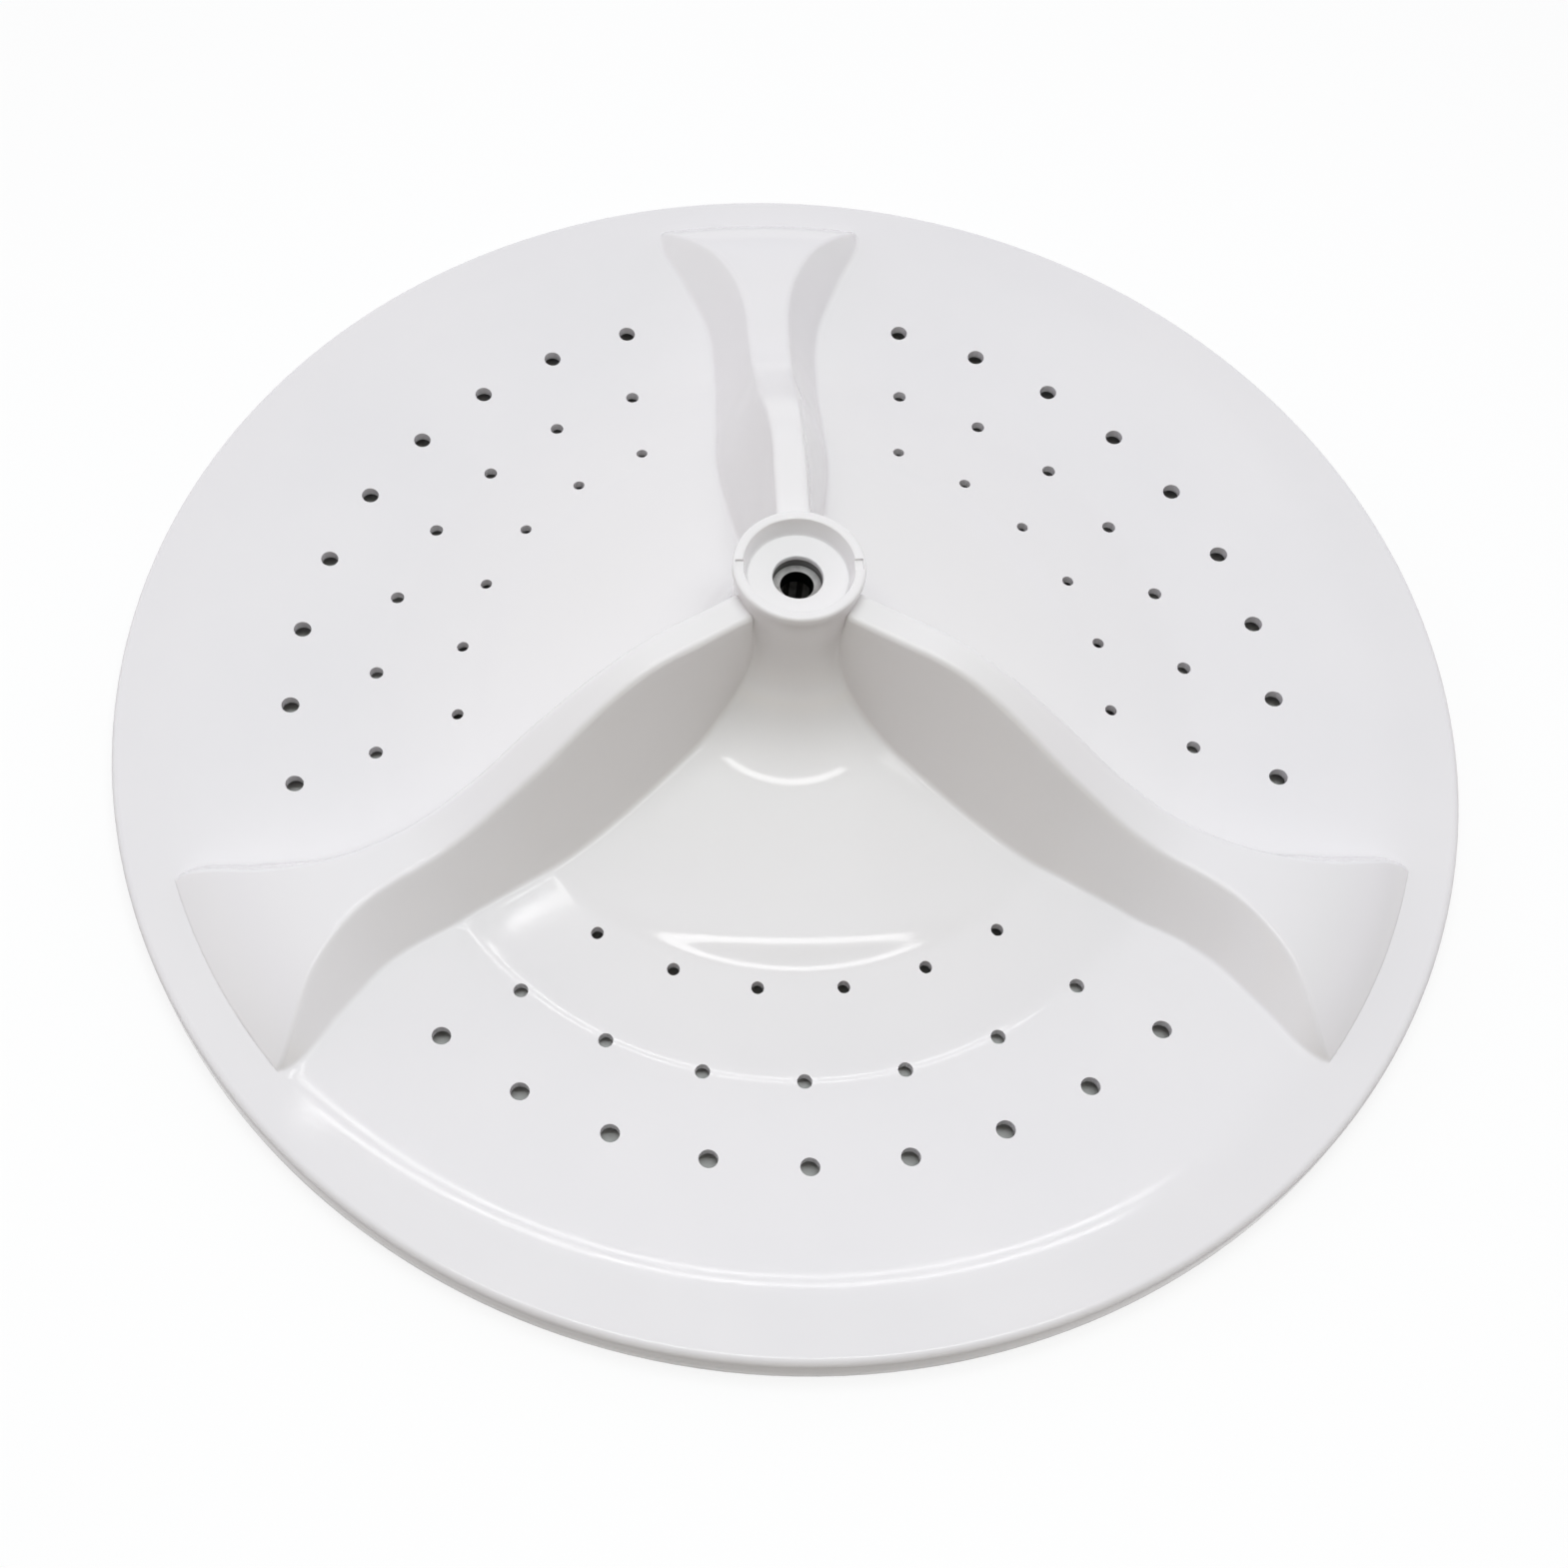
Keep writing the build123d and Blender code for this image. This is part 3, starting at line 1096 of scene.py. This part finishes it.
@dataclass(frozen=True)
class WhitePlastic:
    """Glossy moulded white plastic with a faint flow mottling, and a painted warm shade round
    the hub.
    """

    name: str = "white_plastic"
    colour: Colour = (0.789, 0.772, 0.786, 1.0)
    shade: Colour = (0.773, 0.758, 0.774, 1.0)
    # Colour of the painted warm shade round the hub: warmer and a little darker than the
    # plastic, and the radii where it fades out.
    hub_shade_colour: Colour = (0.778, 0.760, 0.766, 1.0)
    hub_shade_reach: Pair = (0.055, 0.115)
    flow: Mottle = Mottle(46.0, 3.0, 0.55, 0.35, 0.68)
    wipe: Mottle = Mottle(19.0, 4.0, 0.6, 0.3, 0.7)
    roughness: Pair = (0.065, 0.115)
    index: float = 1.5
    grain: Point = (2.6, 2.0, 0.5)
    grain_strength: float = 0.03
    grain_depth: float = 0.0002

    def material(self) -> bpy.types.Material:
        """Build the finish.

        Returns:
            The material.
        """
        material, graph = new_material(self.name)
        colour = graph.blend(graph.mottle(self.flow), self.colour, self.shade)
        # Painted shade: within the first radius the plastic takes the warm shade colour, fading
        # out by the second, standing for the warm shade round the hub.
        hub_shade = graph.spread(graph.off_axis(), *self.hub_shade_reach, 1.0, 0.0)
        colour = graph.blend(hub_shade, colour, self.hub_shade_colour)
        rough = graph.mottle(self.wipe, *self.roughness)
        bump = graph.add("ShaderNodeBump", None, {
            "Strength": self.grain_strength, "Distance": self.grain_depth,
            "Height": graph.noise(*self.grain)})
        shader = graph.add("ShaderNodeBsdfPrincipled", None, {
            "Base Color": colour, "Roughness": rough, "IOR": self.index, "Normal": bump})
        graph.add("ShaderNodeOutputMaterial", None, {"Surface": shader})
        return material


@dataclass(frozen=True)
class BushMetal:
    """Dull turned metal of the insert, with painted shade on its seat's wall and a painted
    near-black shade down its bolt hole.
    """

    name: str = "bush_metal"
    colour: Colour = (0.62, 0.62, 0.61, 1.0)
    dull: Colour = (0.40, 0.395, 0.39, 1.0)
    # Colour of the painted shade on the seat's wall.
    shaded: Colour = (0.14, 0.14, 0.135, 1.0)
    # Near-black colour of the painted shade down the bolt hole.
    bore_shade: Colour = (0.001, 0.004, 0.003, 1.0)
    bolt_hole: float = 0.00395
    seat_wall: float = 0.0058
    border: float = 0.0001
    wear: Mottle = Mottle(3.0, 3.0, 0.6, 0.35, 0.7)
    polish: Mottle = Mottle(3.0, 3.0, 0.6, 0.3, 0.7)
    roughness: Pair = (0.34, 0.5)
    metallic: float = 0.6
    marks_per_metre: float = 26000.0
    marks_strength: float = 0.12
    marks_depth: float = 0.00005

    def material(self) -> bpy.types.Material:
        """Build the finish.

        Returns:
            The material.
        """
        material, graph = new_material(self.name)
        colour = graph.blend(graph.mottle(self.wear), self.colour, self.dull)
        reach = graph.off_axis()
        # Painted shade: beyond the seat wall's radius the metal is painted dark grey, standing
        # for the shade on the recessed wall.
        wall = graph.spread(reach, self.seat_wall - self.border, self.seat_wall)
        colour = graph.blend(wall, colour, self.shaded)
        # Painted shade: inside the bolt hole's radius the metal is painted near black, standing
        # for the shade down the deep bore.
        inside = graph.spread(reach, self.bolt_hole, self.bolt_hole + self.border, 1.0, 0.0)
        colour = graph.blend(inside, colour, self.bore_shade)
        away = graph.length(graph.place())
        marks = graph.add("ShaderNodeMath", {"operation": "SINE"},
                          {0: away * self.marks_per_metre})
        bump = graph.add("ShaderNodeBump", None, {
            "Strength": self.marks_strength, "Distance": self.marks_depth, "Height": marks})
        shader = graph.add("ShaderNodeBsdfPrincipled", None, {
            "Base Color": colour, "Metallic": self.metallic,
            "Roughness": graph.mottle(self.polish, *self.roughness), "Normal": bump})
        graph.add("ShaderNodeOutputMaterial", None, {"Surface": shader})
        return material


@dataclass(frozen=True)
class WhiteFloor:
    """Floor that is white to the camera and keeps the object's soft shadow."""

    name: str = "white_floor"
    colour: Colour = (0.93, 0.93, 0.93, 1.0)
    bounced: Colour = (0.20, 0.195, 0.19, 1.0)
    lift: float = 0.8
    covered: float = 0.164
    border: float = 0.004

    def material(self) -> bpy.types.Material:
        """Build the finish.

        Returns:
            The material.
        """
        material, graph = new_material(self.name)
        camera = graph.add("ShaderNodeLightPath", output="Is Camera Ray")
        glossy = graph.add("ShaderNodeLightPath", output="Is Glossy Ray")
        seen = camera + glossy
        away = graph.length(graph.place())
        clear = graph.spread(away, self.covered - self.border, self.covered + self.border)
        matt = graph.add("ShaderNodeBsdfDiffuse", None,
                         {"Color": graph.blend(seen, self.bounced, self.colour)})
        white = graph.add("ShaderNodeEmission", None, {"Color": (1, 1, 1, 1)})
        both = graph.add("ShaderNodeMixShader", None,
                         {0: seen * clear * self.lift, 1: matt, 2: white})
        graph.add("ShaderNodeOutputMaterial", None, {"Surface": both})
        return material


# ---------------------------------------------------------------- studio


@dataclass(frozen=True)
class Lamp:
    """A level oblong lamp, tipped towards the disc."""

    name: str
    place: Point
    length: float
    width: float
    power: float
    colour: Point = (1.0, 1.0, 1.0)
    mirrored: bool = True

    def build(self) -> Piece:
        """Hang the lamp and tip it.

        Returns:
            The lamp's object.
        """
        light = bpy.data.lights.new(self.name, "AREA")
        light.shape = "RECTANGLE"
        light.size = self.length
        light.size_y = self.width
        light.energy = self.power
        light.color = self.colour
        lamp = bpy.data.objects.new(self.name, light)
        bpy.context.scene.collection.objects.link(lamp)
        lamp.visible_glossy = self.mirrored
        lamp.location = self.place
        lamp.rotation_euler = (-math.atan2(self.place[1], self.place[2]), 0.0, 0.0)
        return lamp


@dataclass
class Studio:
    """Floor, surroundings, lamps and the camera.

    Each side's light gives the sky's colours at the first three heights, and at the last
    one all sides have the zenith's. The borders are where a side passes into the next.
    Both are parts of a unit vector.
    """

    floor_size: float = 12.0
    floor_drop: float = 0.0002
    camera_place: Point = (-0.0448, -0.2830, 0.4699)
    camera_azimuth: float = -1.81
    camera_elevation: float = 58.37
    camera_roll: float = 1.2
    focal_length: float = 49.02
    sensor_width: float = 36.0
    clip_start: float = 0.01
    shift: Pair = (0.0903, -0.0623)
    lamps: Sequence[Lamp] = (
        Lamp("overhead", (0.0, 0.0, 0.95), 0.60, 0.60, 3.92, (0.89, 1.0, 1.0), mirrored=False),
        Lamp("front_fill", (-0.05, -0.30, 0.95), 0.80, 0.50, 1.04, (0.98, 1.0, 0.85),
             mirrored=False),
        Lamp("front_strip", (0.03, -0.30, 1.5), 1.16, 0.12, 2.45),
        Lamp("back_strip_low", (-0.02, 0.28, 1.5), 0.96, 0.025, 0.62),
        Lamp("back_strip_high", (-0.02, 0.39, 1.5), 0.96, 0.025, 0.55),
    )
    heights: Sequence[float] = (0.0, 0.3, 0.65, 1.0)
    zenith: Colour = (0.525, 0.485, 0.515, 1)
    back_light: Sequence[Colour] = (
        (0.70, 0.70, 0.72, 1), (0.62, 0.62, 0.65, 1), (0.34, 0.29, 0.27, 1))
    left_light: Sequence[Colour] = (
        (1.35, 1.35, 1.35, 1), (1.35, 1.35, 1.35, 1), (0.66, 0.60, 0.78, 1))
    right_light: Sequence[Colour] = (
        (0.77, 0.76, 0.80, 1), (1.09, 1.02, 1.16, 1), (0.60, 0.63, 0.61, 1))
    front_light: Sequence[Colour] = (
        (1.02, 0.88, 0.66, 1), (0.06, 0.05, 0.04, 1), (0.04, 0.04, 0.04, 1))
    left_right_border: Pair = (-0.1, 0.1)
    side_border: Pair = (0.1, 0.6)
    front_border: Pair = (-0.6, -0.1)

    def floor(self) -> None:
        """Lay the plain floor that the disc stands on."""
        deselect()
        bpy.ops.mesh.primitive_plane_add(size=self.floor_size,
                                         location=(0, 0, -self.floor_drop))
        floor = bpy.context.active_object
        floor.name = "floor"
        floor.data.materials.append(WhiteFloor().material())

    def surroundings(self) -> None:
        """Light the piece by a sky of four sides, which is white to the camera."""
        world = bpy.data.worlds.new("studio")
        bpy.context.scene.world = world
        world.use_nodes = True
        graph = Graph(world.node_tree)
        way = graph.add("ShaderNodeTexCoord", output="Generated")
        across, along, up = (graph.add("ShaderNodeSeparateXYZ", None, {0: way}, axis)
                             for axis in "XYZ")
        back, left, right, front = (
            graph.add("ShaderNodeValToRGB",
                      {"stops": list(zip(self.heights, (*colours, self.zenith)))}, {"Fac": up})
            for colours in (self.back_light, self.left_light, self.right_light,
                            self.front_light))
        side = graph.blend(graph.spread(across, *self.left_right_border), left, right)
        share = graph.spread(across * across, *self.side_border)
        colour = graph.blend(share, back, side)
        share = graph.spread(along, *self.front_border, 1.0, 0.0)
        colour = graph.blend(share, colour, front)
        seen = graph.add("ShaderNodeLightPath", output="Is Camera Ray")
        light = graph.add("ShaderNodeBackground", None, {"Color": colour})
        white = graph.add("ShaderNodeBackground", None, {"Color": (1, 1, 1, 1)})
        both = graph.add("ShaderNodeMixShader", None, {0: seen, 1: light, 2: white})
        graph.add("ShaderNodeOutputWorld", None, {"Surface": both})

    def camera(self) -> None:
        """Put the camera where the picture was taken."""
        azimuth = math.radians(self.camera_azimuth)
        elevation = math.radians(self.camera_elevation)
        roll = math.radians(self.camera_roll)
        back = Vector((math.sin(azimuth) * math.cos(elevation),
                       -math.cos(azimuth) * math.cos(elevation), math.sin(elevation)))
        level = Vector((math.cos(azimuth), math.sin(azimuth), 0.0))
        upright = back.cross(level)
        right = math.cos(roll) * level + math.sin(roll) * upright
        up = -math.sin(roll) * level + math.cos(roll) * upright
        turn = Matrix((right, up, back)).transposed()
        data = bpy.data.cameras.new("camera")
        data.sensor_width = self.sensor_width
        data.sensor_fit = "HORIZONTAL"
        data.lens = self.focal_length
        data.shift_x, data.shift_y = self.shift
        data.clip_start = self.clip_start
        camera = bpy.data.objects.new("camera", data)
        bpy.context.scene.collection.objects.link(camera)
        camera.matrix_world = Matrix.Translation(self.camera_place) @ turn.to_4x4()
        bpy.context.scene.camera = camera

    def build(self) -> None:
        """Set the whole studio up."""
        bpy.context.scene.view_settings.view_transform = "Standard"
        self.floor()
        self.surroundings()
        for lamp in self.lamps:
            lamp.build()
        self.camera()


def main() -> None:
    """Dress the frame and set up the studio."""
    logging.basicConfig(level=logging.INFO, format="%(name)s: %(message)s")
    moulding = Moulding().dress(WhitePlastic().material())
    log.info("moulding: %d faces", len(moulding.data.polygons))
    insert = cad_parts["spline_insert"]
    insert.data.materials.clear()
    insert.data.materials.append(BushMetal().material())
    log.info("insert: finished")
    Studio().build()
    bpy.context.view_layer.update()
    deselect()


if __name__ == "__main__":
    main()
